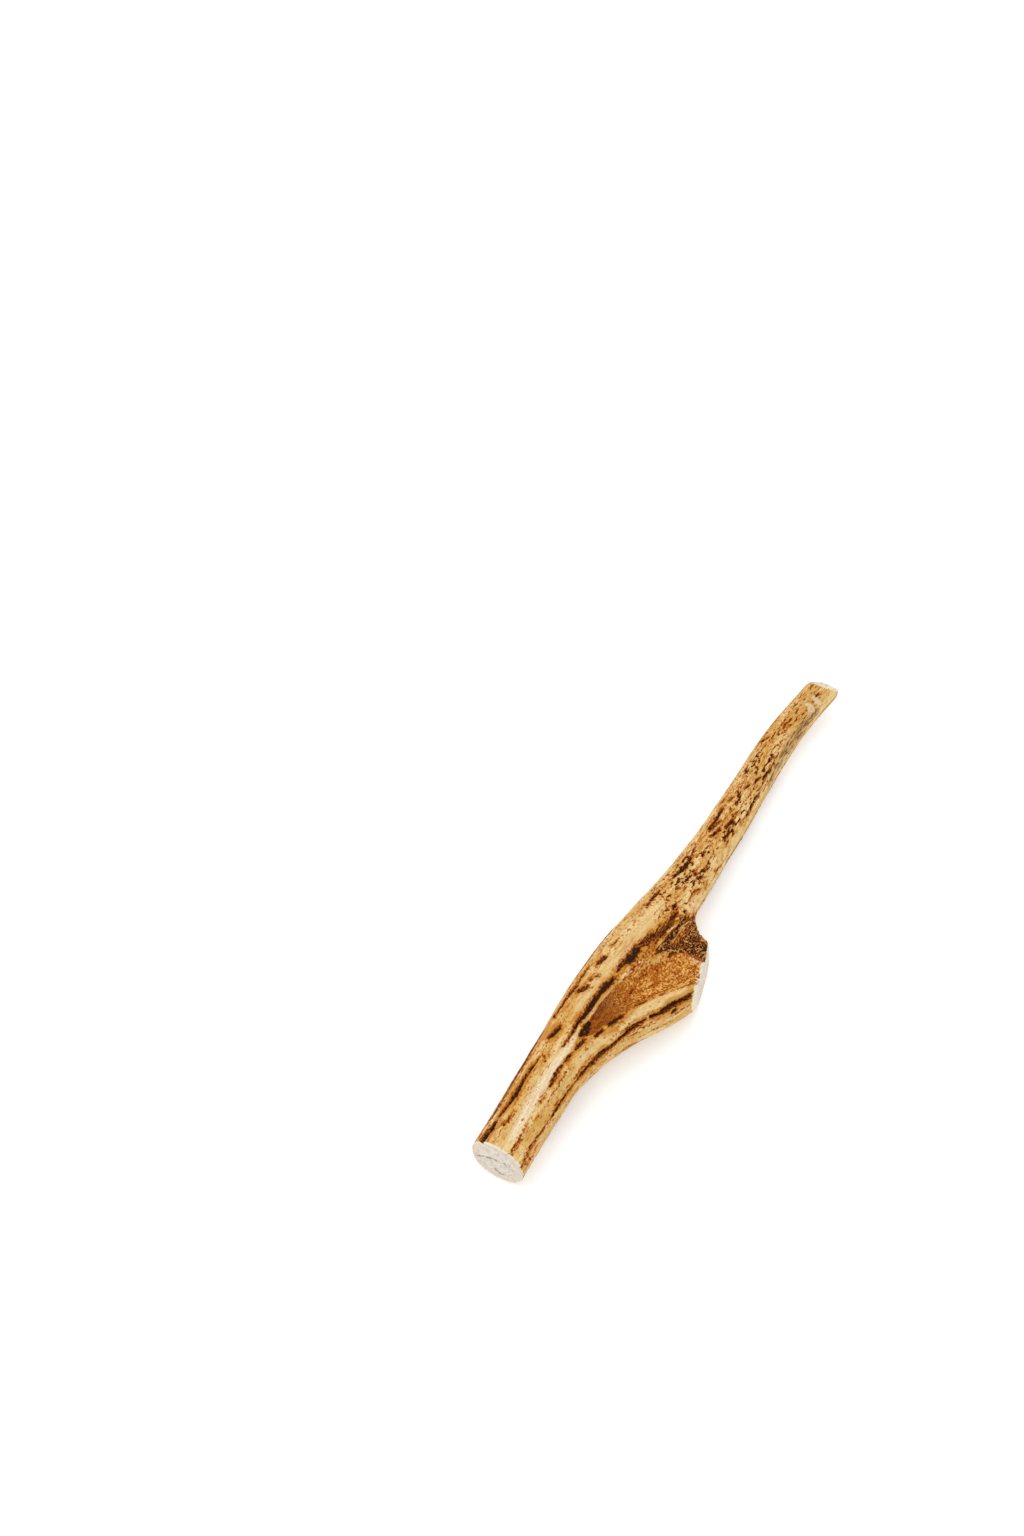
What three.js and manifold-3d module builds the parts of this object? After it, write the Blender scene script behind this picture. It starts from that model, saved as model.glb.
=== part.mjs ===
// A sawn piece of deer antler: a round beam that forks into a long slim tine and a short trimmed branch.
// Millimetres, +Z up. The beam runs along +X towards the tine, and the branch leaves it on the -Y side.
// The piece lies at rest on its beam end, its tine and its branch.
import * as THREE from 'three';
import { mergeVertices } from 'three/addons/utils/BufferGeometryUtils.js';
import Module from 'manifold-3d';

// ---------------------------------------------------------------- driving dimensions, mm

// Beam and tine, one continuous tube: along X, centre to the side, centre height, half width, half height.
const BEAM_AND_TINE = [
  [-112, 0.2, 9.0, 9.2, 9.0],
  [-106, 0.3, 9.0, 9.2, 9.0],
  [-95, 0.7, 9.0, 9.1, 9.0],
  [-85, 1.1, 9.3, 9.3, 9.0],
  [-65, 1.5, 10.4, 9.7, 9.2],
  [-45, 1.8, 11.6, 10.2, 9.4],
  [-25, 1.9, 11.7, 9.9, 9.3],
  [-10, 1.6, 10.9, 8.9, 8.6],
  [4, 0.6, 9.9, 8.4, 8.0],
  [15, 0.4, 8.9, 7.8, 7.4],
  [30, 0.6, 7.9, 7.0, 6.9],
  [45, 1.2, 7.0, 6.6, 6.5],
  [60, 1.9, 6.3, 6.2, 6.2],
  [75, 2.4, 6.2, 5.9, 6.0],
  [87, 2.0, 7.0, 5.6, 5.8],
  [97, 0.7, 8.3, 5.3, 5.6],
  [106, -0.8, 9.7, 5.4, 5.6],
  [116, -2.4, 11.4, 5.4, 5.5],
];

// The branch, which swells out of the beam and leaves it at an angle. Its stations run along its own line.
const BRANCH_LINE = { x: -62, y: -1, turn: -25 };
const BRANCH = [
  [-12, -1.0, 10.8, 2.0, 2.0],
  [3, 0.0, 10.8, 5.5, 5.5],
  [18, 2.0, 10.9, 8.6, 7.8],
  [34, 2.0, 9.6, 9.2, 8.2],
  [49, 3.5, 8.4, 8.9, 8.2],
  [62, 4.8, 7.9, 9.2, 7.9],
];

// The web of bone between tine and branch, and the round bay that opens into it at the crotch.
const CROTCH_WEB = { centre: [-10, -12, 9.4], radii: [11, 9, 7] };
const CROTCH_BAY = { x: 3.6, y: -19.8, radius: 9 };

// The long hollow on top, between beam and branch, and the shallow one underneath.
const TOP_HOLLOW_LINE = { x: -62, y: -3, turn: -21 };
const TOP_HOLLOW = [
  [-4, 0.0, 26.0, 1.5, 3.0],
  [4, 1.0, 24.0, 2.0, 4.0],
  [14, 3.3, 23.2, 3.0, 4.6],
  [24, 3.9, 21.8, 4.6, 4.9],
  [35, 3.4, 19.8, 5.6, 5.0],
  [46, 1.4, 18.2, 5.6, 4.9],
  [58, -1.0, 17.0, 5.5, 4.8],
];
const UNDER_HOLLOW_LINE = { x: -62, y: -3, turn: -10 };
const UNDER_HOLLOW = [
  [-6, 1.0, -9.0, 2.0, 6.0],
  [4, 1.0, -6.5, 3.5, 6.0],
  [16, 1.2, -4.3, 4.5, 6.2],
  [30, 1.6, -3.0, 5.0, 6.3],
  [46, 2.0, -2.6, 5.0, 6.3],
  [58, 2.0, -3.0, 5.0, 6.0],
];

// Deep grooves where blood vessels ran, as points on the surface, with half width and depth.
const VESSEL_GROOVES = [
  {
    halfWidth: 0.9,
    depth: 0.9,
    path: [[-107, 5.7, 16.6], [-91, 5.5, 17.1], [-83, 5.3, 17.6], [-72, 5.3, 18.7]],
  },
  { halfWidth: 0.7, depth: 0.5, path: [[-107, -4.1, 17.2], [-94, -3.1, 17.4]] },
  { halfWidth: 0.8, depth: 0.7, path: [[-79, -2.8, 17.9], [-69, -2.2, 19.2], [-61, -3.4, 19.9]] },
  {
    halfWidth: 0.9,
    depth: 0.8,
    path: [
      [-107, -8, 13.3], [-94, -7.7, 12.9], [-76, -7.1, 14.5], [-65, -8.5, 15.1], [-57, -10.2, 16.3],
      [-51, -12.2, 16.3], [-45, -14.3, 16.5], [-39.5, -16.8, 16], [-27, -22.9, 14.2],
    ],
  },
  {
    halfWidth: 1.0,
    depth: 0.9,
    path: [[-62, 0.8, 20.4], [-52, 0.7, 21.2], [-40, 0.1, 21.5], [-28, -0.8, 20.9], [-20, -1.9, 20.1]],
  },
];

// Lengthwise furrows around the tube: angle from the +Y side over the top, from x, to x, depth.
const FURROWS = [
  [32, -100, -62, 0.4],
  [10, -107, -48, 0.5],
  [-14, -96, -8, 0.5],
  [-42, -107, -40, 0.5],
  [-68, -84, 12, 0.4],
  [-90, -107, -82, 0.5],
  [-112, -107, -58, 0.5],
  [-136, -92, -50, 0.4],
  [-160, -107, -66, 0.5],
  [24, -40, 22, 0.4],
  [-8, 8, 74, 0.35],
  [-50, 18, 92, 0.35],
  [-90, 42, 86, 0.3],
  [-128, 14, 70, 0.35],
  [-172, 22, 84, 0.35],
];
const FURROW_HALF_WIDTH = 1.0;
const FURROW_FADE = { start: 6, end: 10 }; // lengths over which a furrow deepens and runs out
const FURROW_SIDE = { none: -10.5, full: -8.5 }; // furrows of the beam stop where the branch begins, in y

// Pits and chips, each a shallow dent: place on the surface, radius, depth.
const DENTS = [
  [99.2, -2.1, 13.7, 1.8, 0.6],
  [95.6, -1.7, 13.1, 1.6, 0.5],
  [-10.4, -4.4, 18.6, 1.6, 0.8],
  [-5.1, -5.1, 17.5, 1.5, 0.8],
  [-4.5, -9.4, 15.6, 1.5, 0.8],
  [-8.2, -12.0, 16.6, 1.6, 0.8],
  [-1.0, -7.6, 15.8, 1.4, 0.7],
  [-13.5, -8.6, 18.0, 1.4, 0.7],
  [-49.0, -8.0, 20.0, 1.5, 0.6],
  [-60.4, 1.5, 20.5, 1.2, 0.5],
];

// Flat saw cuts: a point on each face and the direction that it looks in.
const BEAM_CUT = { at: [-106, 0.3, 9], faces: [-1, 0, 0] };
const TINE_CUT = { at: [108, -1.05, 10.5], faces: [0.8, 0, 0.6] };
const BRANCH_CUT = { at: [-17.3, -21.5, 8], faces: [0.3, -0.951, 0.07] };

// The fork: where the tine begins, and the line from the crotch back along the root of the branch.
const TINE_ROOT = { at: [1, 0, 9], faces: [1, 0, 0] };
const BRANCH_ROOT = { at: [1, -9.8, 9], faces: [0.18, -0.98, 0] };
const NODE_GAP = 0.3;

const FORK_FILLET = 9;
const WEB_FILLET = 6;
const BAY_ROUNDING = 5;
const HOLLOW_ROUNDING = 2.5;
const ROUNDNESS = 2.2; // exponent of the section: 2 is an ellipse, more is squarer
const SAW_ALLOWANCE = 2; // the branch is grown this far past its saw cut
const BRANCH_ENDS_AT = 5; // no part of the branch reaches past this x
const GROWN_FROM = -108; // the beam is grown from here, a little before its saw cut
const BOX_MIDDLE = [3, -6.2, -0.06]; // middle of the footprint, which becomes the origin

// Fineness of the faceted surface.
const AROUND = 50;
const RAY_STEP = 0.8;
const RAY_HALVINGS = 12;
const STEPS = [
  { upTo: -60, step: 3.3 },
  { upTo: -12, step: 2.0 },
  { upTo: 8, step: 1.25 },
  { upTo: 114, step: 3.2 },
];

// ---------------------------------------------------------------- smooth shapes

// Reads a list of stations at a place along it, on a smooth curve through all of them.
function along(stations, place) {
  const last = stations.length - 1;
  const s = Math.min(Math.max(place, stations[0][0]), stations[last][0]);
  let i = 0;
  while (i < last - 1 && stations[i + 1][0] < s) i += 1;
  const span = stations[i + 1][0] - stations[i][0];
  const t = (s - stations[i][0]) / span;
  const slope = (k, column) => {
    const before = stations[Math.max(k - 1, 0)];
    const after = stations[Math.min(k + 1, last)];
    return (after[column] - before[column]) / (after[0] - before[0]);
  };
  return stations[i].slice(1).map((value, index) => {
    const column = index + 1;
    return (
      (2 * t ** 3 - 3 * t ** 2 + 1) * value +
      (t ** 3 - 2 * t ** 2 + t) * span * slope(i, column) +
      (3 * t ** 2 - 2 * t ** 3) * stations[i + 1][column] +
      (t ** 3 - t ** 2) * span * slope(i + 1, column)
    );
  });
}

// Distance to a tube of rounded section, less than zero inside it.
function tube(stations, place, side, height) {
  const [centreSide, centreHeight, halfWidth, halfHeight] = along(stations, place);
  const across = Math.abs(side - centreSide) / halfWidth;
  const up = Math.abs(height - centreHeight) / halfHeight;
  const reach = (across ** ROUNDNESS + up ** ROUNDNESS) ** (1 / ROUNDNESS);
  return (reach - 1) * Math.sqrt(halfWidth * halfHeight);
}

// The same for a tube that runs along a line of its own, closed before its first station.
function turnedTube(stations, line, x, y, z) {
  const turn = THREE.MathUtils.degToRad(line.turn);
  const place = (x - line.x) * Math.cos(turn) + (y - line.y) * Math.sin(turn);
  const side = (y - line.y) * Math.cos(turn) - (x - line.x) * Math.sin(turn);
  return tube(stations, place, side, z) + Math.max(stations[0][0] - place, 0);
}

// Joins two distances with a fillet, and cuts one from the other with a rounded edge.
function join(a, b, fillet) {
  const near = Math.max(1 - Math.abs(a - b) / fillet, 0);
  return Math.min(a, b) - (near * near * fillet) / 4;
}

function carve(a, b, rounding) {
  return -join(-a, b, rounding);
}

function beyond(plane, x, y, z) {
  const direction = new THREE.Vector3(...plane.faces).normalize();
  return new THREE.Vector3(x, y, z).sub(new THREE.Vector3(...plane.at)).dot(direction);
}

// ---------------------------------------------------------------- relief: grooves, furrows and dents

// A dip in the surface that is deepest in its middle and fades out smoothly.
function dip(distance, halfWidth, depth) {
  return depth * Math.exp(-((distance / halfWidth) ** 2));
}

function distanceToPath(path, point) {
  let nearest = Infinity;
  const closest = new THREE.Vector3();
  for (const stretch of path) {
    stretch.closestPointToPoint(point, true, closest);
    nearest = Math.min(nearest, closest.distanceTo(point));
  }
  return nearest;
}

const groovePaths = VESSEL_GROOVES.map(({ halfWidth, depth, path }) => ({
  halfWidth,
  depth,
  stretches: path.slice(1).map(
    (point, i) => new THREE.Line3(new THREE.Vector3(...path[i]), new THREE.Vector3(...point)),
  ),
}));

function relief(x, y, z) {
  const point = new THREE.Vector3(x, y, z);
  const [centreSide, centreHeight, halfWidth] = along(BEAM_AND_TINE, x);
  const angle = THREE.MathUtils.radToDeg(Math.atan2(z - centreHeight, y - centreSide));
  let depth = 0;
  for (const groove of groovePaths) {
    depth = Math.max(depth, dip(distanceToPath(groove.stretches, point), groove.halfWidth, groove.depth));
  }
  for (const [middle, from, to, full] of FURROWS) {
    const turn = THREE.MathUtils.euclideanModulo(angle - middle + 180, 360) - 180;
    const arc = THREE.MathUtils.degToRad(turn) * halfWidth;
    const begins = THREE.MathUtils.smoothstep(x, from, from + FURROW_FADE.start);
    const runsOut = 1 - THREE.MathUtils.smoothstep(x, to - FURROW_FADE.end, to);
    const onBeam = THREE.MathUtils.smoothstep(y, FURROW_SIDE.none, FURROW_SIDE.full);
    depth = Math.max(depth, dip(arc, FURROW_HALF_WIDTH, full) * begins * runsOut * onBeam);
  }
  for (const [dentX, dentY, dentZ, radius, full] of DENTS) {
    const distance = Math.hypot(x - dentX, y - dentY, z - dentZ);
    depth = Math.max(depth, dip(distance, radius, full));
  }
  return depth;
}

// ---------------------------------------------------------------- the antler as one field

function antler(x, y, z) {
  const beamAndTine = tube(BEAM_AND_TINE, x, y, z);
  const branch = turnedTube(BRANCH, BRANCH_LINE, x, y, z);
  const [webX, webY, webZ] = CROTCH_WEB.centre;
  const [lengthX, widthY, heightZ] = CROTCH_WEB.radii;
  const web = (Math.hypot((x - webX) / lengthX, (y - webY) / widthY, (z - webZ) / heightZ) - 1) * heightZ;
  let distance = join(join(beamAndTine, branch, FORK_FILLET), web, WEB_FILLET);
  distance = carve(distance, Math.hypot(x - CROTCH_BAY.x, y - CROTCH_BAY.y) - CROTCH_BAY.radius, BAY_ROUNDING);
  distance = carve(distance, turnedTube(TOP_HOLLOW, TOP_HOLLOW_LINE, x, y, z), HOLLOW_ROUNDING);
  distance = carve(distance, turnedTube(UNDER_HOLLOW, UNDER_HOLLOW_LINE, x, y, z), HOLLOW_ROUNDING);
  distance += relief(x, y, z);
  if (x < BRANCH_ENDS_AT) distance = Math.max(distance, beyond(BRANCH_CUT, x, y, z) - SAW_ALLOWANCE);
  return distance;
}

// ---------------------------------------------------------------- the faceted surface

// Each section looks out from a point that moves down and towards the branch at the fork, where the section
// is also wider than it is high: x, shift to the side, shift up, width over height.
const LOOKOUTS = [
  [-112, 0, 0, 1],
  [-75, 0, 0, 1],
  [-55, -4, -1.5, 1.35],
  [-30, -8, -3.5, 1.9],
  [-14, -8, -3.2, 1.8],
  [-4, -3.5, -1, 1.3],
  [6, 0, 0, 1],
  [120, 0, 0, 1],
];

// The distance from the lookout point to the surface, in one direction of the section.
function reachOf(x, lookout, direction) {
  const outside = (r) => antler(x, lookout.y + r * direction.x, lookout.z + r * direction.y) > 0;
  let far = RAY_STEP;
  while (!outside(far)) far += RAY_STEP;
  let near = far - RAY_STEP;
  for (let halving = 0; halving < RAY_HALVINGS; halving += 1) {
    const middle = (near + far) / 2;
    if (outside(middle)) far = middle;
    else near = middle;
  }
  return (near + far) / 2;
}

// The outline of the section at x, as points spaced nearly evenly around it.
function section(x) {
  const [centreSide, centreHeight] = along(BEAM_AND_TINE, x);
  const [sideShift, upShift, widthOverHeight] = along(LOOKOUTS, x);
  const lookout = { y: centreSide + sideShift, z: centreHeight + upShift };
  const points = [];
  for (let i = 0; i < AROUND; i += 1) {
    const angle = (i / AROUND) * 2 * Math.PI;
    const direction = new THREE.Vector2(widthOverHeight * Math.cos(angle), Math.sin(angle)).normalize();
    const reach = reachOf(x, lookout, direction);
    points.push(new THREE.Vector3(x, lookout.y + reach * direction.x, lookout.z + reach * direction.y));
  }
  return points;
}

function sectionPlaces() {
  const places = [];
  let x = GROWN_FROM;
  for (const { upTo, step } of STEPS) {
    const count = Math.round((upTo - x) / step);
    const start = x;
    for (let i = 0; i < count; i += 1) places.push(start + ((upTo - start) * i) / count);
    x = upTo;
  }
  places.push(x);
  return places;
}

// Joins the sections into one closed skin with a fan at each end.
function skin() {
  const sections = sectionPlaces().map(section);
  const points = sections.flat();
  const triangles = [];
  for (let s = 0; s < sections.length - 1; s += 1) {
    for (let i = 0; i < AROUND; i += 1) {
      const next = (i + 1) % AROUND;
      const here = s * AROUND;
      const there = here + AROUND;
      triangles.push(here + i, here + next, there + i);
      triangles.push(here + next, there + next, there + i);
    }
  }
  const lastRing = (sections.length - 1) * AROUND;
  const startMiddle = points.push(middleOf(sections[0])) - 1;
  const endMiddle = points.push(middleOf(sections[sections.length - 1])) - 1;
  for (let i = 0; i < AROUND; i += 1) {
    const next = (i + 1) % AROUND;
    triangles.push(startMiddle, next, i);
    triangles.push(endMiddle, lastRing + i, lastRing + next);
  }
  const geometry = new THREE.BufferGeometry().setFromPoints(points);
  geometry.setIndex(triangles);
  return geometry;
}

function middleOf(points) {
  const sum = points.reduce((total, point) => total.add(point), new THREE.Vector3());
  return sum.divideScalar(points.length);
}

// ---------------------------------------------------------------- sawing and parting

const wasm = await Module();
wasm.setup();

function solidOf(geometry) {
  const vertProperties = new Float32Array(geometry.getAttribute('position').array);
  const triVerts = new Uint32Array(geometry.getIndex().array);
  return new wasm.Manifold(new wasm.Mesh({ numProp: 3, vertProperties, triVerts }));
}

function geometryOf(solid) {
  const mesh = solid.getMesh();
  const geometry = new THREE.BufferGeometry();
  geometry.setAttribute('position', new THREE.BufferAttribute(new Float32Array(mesh.vertProperties), 3));
  geometry.setIndex(Array.from(mesh.triVerts));
  geometry.computeVertexNormals();
  return geometry;
}

// The block on the far side of a plane: `width` across and `thickness` deep, moved out by `offset`.
function block(plane, width, thickness, offset = 0) {
  const direction = new THREE.Vector3(...plane.faces).normalize();
  const corners = new THREE.BoxGeometry(width, width, thickness);
  const indexed = new THREE.BufferGeometry();
  const turn = new THREE.Quaternion().setFromUnitVectors(new THREE.Vector3(0, 0, 1), direction);
  const place = new THREE.Vector3(...plane.at).addScaledVector(direction, thickness / 2 + offset);
  indexed.setAttribute('position', corners.getAttribute('position'));
  indexed.setIndex(corners.getIndex());
  indexed.applyQuaternion(turn);
  indexed.translate(place.x, place.y, place.z);
  return solidOf(mergeVertices(indexed));
}

const whole = solidOf(skin())
  .subtract(block(BEAM_CUT, 80, 20))
  .subtract(block(TINE_CUT, 60, 30))
  .subtract(block(BRANCH_CUT, 52, 30));

const WHOLE_SIDE = 300; // wider than the antler is long
const tineSide = block(TINE_ROOT, WHOLE_SIDE, WHOLE_SIDE);
const branchSide = block(BRANCH_ROOT, WHOLE_SIDE, WHOLE_SIDE);
const tineGap = block(TINE_ROOT, WHOLE_SIDE, NODE_GAP, -NODE_GAP);
const branchGap = block(BRANCH_ROOT, WHOLE_SIDE, NODE_GAP, -NODE_GAP);

const rootSide = whole.subtract(tineSide).subtract(tineGap);
const parts = {
  beam: rootSide.subtract(branchSide).subtract(branchGap),
  tine: whole.intersect(tineSide),
  branch_stump: rootSide.intersect(branchSide),
};

// ---------------------------------------------------------------- the scene graph

const antlerPiece = new THREE.Group();
for (const [name, solid] of Object.entries(parts)) {
  const material = new THREE.MeshStandardMaterial({ color: 0xd0a060, roughness: 0.55, metalness: 0 });
  const mesh = new THREE.Mesh(geometryOf(solid), material);
  mesh.name = name;
  mesh.position.set(-BOX_MIDDLE[0], -BOX_MIDDLE[1], -BOX_MIDDLE[2]);
  antlerPiece.add(mesh);
}

export default antlerPiece;
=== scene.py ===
"""A sawn, forked piece of deer antler, lying on a pale surface."""
import math

import bmesh
import bpy
import mathutils
import numpy as np
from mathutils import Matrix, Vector


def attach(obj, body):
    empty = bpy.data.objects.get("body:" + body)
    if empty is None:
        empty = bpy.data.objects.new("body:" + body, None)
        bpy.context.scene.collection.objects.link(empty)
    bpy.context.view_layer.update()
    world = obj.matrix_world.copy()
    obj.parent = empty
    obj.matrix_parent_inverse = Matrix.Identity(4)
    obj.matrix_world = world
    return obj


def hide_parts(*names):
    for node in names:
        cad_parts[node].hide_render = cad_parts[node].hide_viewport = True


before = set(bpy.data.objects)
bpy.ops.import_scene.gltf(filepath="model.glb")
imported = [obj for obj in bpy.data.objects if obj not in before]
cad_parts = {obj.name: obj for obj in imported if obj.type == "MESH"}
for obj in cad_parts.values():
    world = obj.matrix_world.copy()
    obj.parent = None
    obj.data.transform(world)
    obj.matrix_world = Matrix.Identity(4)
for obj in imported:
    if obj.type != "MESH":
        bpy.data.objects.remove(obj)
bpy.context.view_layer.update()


# ---------------------------------------------------------------- the antler as it grew
# One bone: a round beam runs on into a slim tine, and a short branch swells out of its side.
# It is grown here as a smooth skin of rings, from the same sizes in mm as the solid part, and runs
# a little past each saw cut.

MM = 0.001
BOX_MIDDLE = np.array([3.0, -6.2, -0.06])  # middle of the footprint, where the frame's origin is

# Along X, centre to the side, centre height, half width, half height.
BEAM_AND_TINE = [
    [-112, 0.2, 9.0, 9.2, 9.0],
    [-106, 0.3, 9.0, 9.2, 9.0],
    [-95, 0.7, 9.0, 9.1, 9.0],
    [-85, 1.1, 9.3, 9.3, 9.0],
    [-65, 1.5, 10.4, 9.7, 9.2],
    [-45, 1.8, 11.6, 10.2, 9.4],
    [-25, 1.9, 11.7, 9.9, 9.3],
    [-10, 1.6, 10.9, 8.9, 8.6],
    [4, 0.6, 9.9, 8.4, 8.0],
    [15, 0.4, 8.9, 7.8, 7.4],
    [30, 0.6, 7.9, 7.0, 6.9],
    [45, 1.2, 7.0, 6.6, 6.5],
    [60, 1.9, 6.3, 6.2, 6.2],
    [75, 2.4, 6.2, 5.9, 6.0],
    [87, 2.0, 7.0, 5.6, 5.8],
    [97, 0.7, 8.3, 5.3, 5.6],
    [106, -0.8, 9.7, 5.4, 5.6],
    [116, -2.4, 11.4, 5.4, 5.5],
]
BRANCH_LINE = (-62.0, -1.0, -25.0)  # x and y where its line starts, and its turn in degrees
BRANCH = [
    [-12, -1.0, 10.8, 2.0, 2.0],
    [3, 0.0, 10.8, 5.5, 5.5],
    [18, 2.0, 10.9, 8.6, 7.8],
    [34, 2.0, 9.6, 9.2, 8.2],
    [49, 3.5, 8.4, 8.9, 8.2],
    [62, 4.8, 7.9, 9.2, 7.9],
]
WEB_CENTRE = (-10.0, -12.0, 9.4)
WEB_RADII = (11.0, 9.0, 7.0)
CROTCH_BAY = (3.6, -19.8, 9.0)  # x, y and radius of the round bay between tine and branch
TOP_HOLLOW_LINE = (-62.0, -3.0, -21.0)
TOP_HOLLOW = [
    [-4, 0.0, 26.0, 1.5, 3.0],
    [4, 1.0, 24.0, 2.0, 4.0],
    [14, 3.3, 23.2, 3.0, 4.6],
    [24, 3.9, 21.8, 4.6, 4.9],
    [35, 3.4, 19.8, 5.6, 5.0],
    [46, 1.4, 18.2, 5.6, 4.9],
    [58, -1.0, 17.0, 5.5, 4.8],
]
UNDER_HOLLOW_LINE = (-62.0, -3.0, -10.0)
UNDER_HOLLOW = [
    [-6, 1.0, -9.0, 2.0, 6.0],
    [4, 1.0, -6.5, 3.5, 6.0],
    [16, 1.2, -4.3, 4.5, 6.2],
    [30, 1.6, -3.0, 5.0, 6.3],
    [46, 2.0, -2.6, 5.0, 6.3],
    [58, 2.0, -3.0, 5.0, 6.0],
]
ROUNDNESS = 2.2  # exponent of the section: 2 is an ellipse, more is squarer
FORK_FILLET = 9.0
WEB_FILLET = 6.0
BAY_ROUNDING = 5.0
HOLLOW_ROUNDING = 2.5
SAW_ALLOWANCE = 2.0
BRANCH_ENDS_AT = 5.0

# Flat saw cuts: a point on each face and the direction that it looks in.
BEAM_CUT = ((-106.0, 0.3, 9.0), (-1.0, 0.0, 0.0))
TINE_CUT = ((108.0, -1.05, 10.5), (0.8, 0.0, 0.6))
BRANCH_CUT = ((-17.3, -21.5, 8.0), (0.3, -0.951, 0.07))

# Each ring is seen from a lookout point: x, shift to the side, shift up, width over height.
LOOKOUTS = [
    [-112, 0, 0, 1],
    [-75, 0, 0, 1],
    [-55, -4, -1.5, 1.35],
    [-30, -8, -3.5, 1.9],
    [-14, -8, -3.2, 1.8],
    [-4, -3.5, -1, 1.3],
    [6, 0, 0, 1],
    [120, 0, 0, 1],
]
AROUND = 190
RING_STEPS = [(-108.0, -60.0, 0.56), (-60.0, 8.0, 0.42), (8.0, 115.0, 0.63)]
RAY_STEP = 0.8
RAY_REACH = 40.0
RAY_HALVINGS = 14


def along(stations, place):
    """Reads the stations at many places, on a smooth curve through all of them."""
    table = np.array(stations, float)
    keys, values = table[:, 0], table[:, 1:]
    slopes = np.empty_like(values)
    slopes[1:-1] = (values[2:] - values[:-2]) / (keys[2:] - keys[:-2])[:, None]
    slopes[0] = (values[1] - values[0]) / (keys[1] - keys[0])
    slopes[-1] = (values[-1] - values[-2]) / (keys[-1] - keys[-2])
    place = np.clip(place, keys[0], keys[-1])
    i = np.clip(np.searchsorted(keys, place, side="right") - 1, 0, len(keys) - 2)
    span = (keys[i + 1] - keys[i])[..., None]
    t = (place - keys[i])[..., None] / span
    return (
        (2 * t**3 - 3 * t**2 + 1) * values[i]
        + (t**3 - 2 * t**2 + t) * span * slopes[i]
        + (3 * t**2 - 2 * t**3) * values[i + 1]
        + (t**3 - t**2) * span * slopes[i + 1]
    )


def tube(stations, place, side, height):
    """Distance to a tube of rounded section, less than zero inside it."""
    at = along(stations, place)
    across = np.abs(side - at[..., 0]) / at[..., 2]
    up = np.abs(height - at[..., 1]) / at[..., 3]
    reach = (across**ROUNDNESS + up**ROUNDNESS) ** (1 / ROUNDNESS)
    return (reach - 1) * np.sqrt(at[..., 2] * at[..., 3])


def on_line(line, x, y):
    """Place along a turned line, and distance to its left."""
    turn = math.radians(line[2])
    place = (x - line[0]) * math.cos(turn) + (y - line[1]) * math.sin(turn)
    side = (y - line[1]) * math.cos(turn) - (x - line[0]) * math.sin(turn)
    return place, side


def turned_tube(stations, line, x, y, z):
    """Distance to a tube that follows a turned line, and starts with a blunt end."""
    place, side = on_line(line, x, y)
    return tube(stations, place, side, z) + np.maximum(stations[0][0] - place, 0)


def join(a, b, fillet):
    """Distance to two forms grown together, with a fillet where they meet."""
    near = np.maximum(1 - np.abs(a - b) / fillet, 0)
    return np.minimum(a, b) - near * near * fillet / 4


def carve(a, b, rounding):
    """Distance to the first form with the second cut out of it, and the edge rounded."""
    return -join(-a, b, rounding)


def beyond(cut, x, y, z):
    """How far outside a saw cut a place is, less than zero on the side that is kept."""
    at, faces = cut
    length = math.dist(faces, (0, 0, 0))
    return sum((p - q) * n for p, q, n in zip((x, y, z), at, faces)) / length


def antler(x, y, z):
    """Distance to the smooth antler, less than zero inside it."""
    distance = tube(BEAM_AND_TINE, x, y, z)
    distance = join(distance, turned_tube(BRANCH, BRANCH_LINE, x, y, z), FORK_FILLET)
    web = np.sqrt(sum(((p - q) / r) ** 2 for p, q, r in zip((x, y, z), WEB_CENTRE, WEB_RADII)))
    distance = join(distance, (web - 1) * WEB_RADII[2], WEB_FILLET)
    bay = np.hypot(x - CROTCH_BAY[0], y - CROTCH_BAY[1]) - CROTCH_BAY[2]
    distance = carve(distance, bay, BAY_ROUNDING)
    distance = carve(distance, turned_tube(TOP_HOLLOW, TOP_HOLLOW_LINE, x, y, z), HOLLOW_ROUNDING)
    distance = carve(distance, turned_tube(UNDER_HOLLOW, UNDER_HOLLOW_LINE, x, y, z), HOLLOW_ROUNDING)
    past_saw = beyond(BRANCH_CUT, x, y, z) - SAW_ALLOWANCE
    return np.where(x < BRANCH_ENDS_AT, np.maximum(distance, past_saw), distance)


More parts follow.
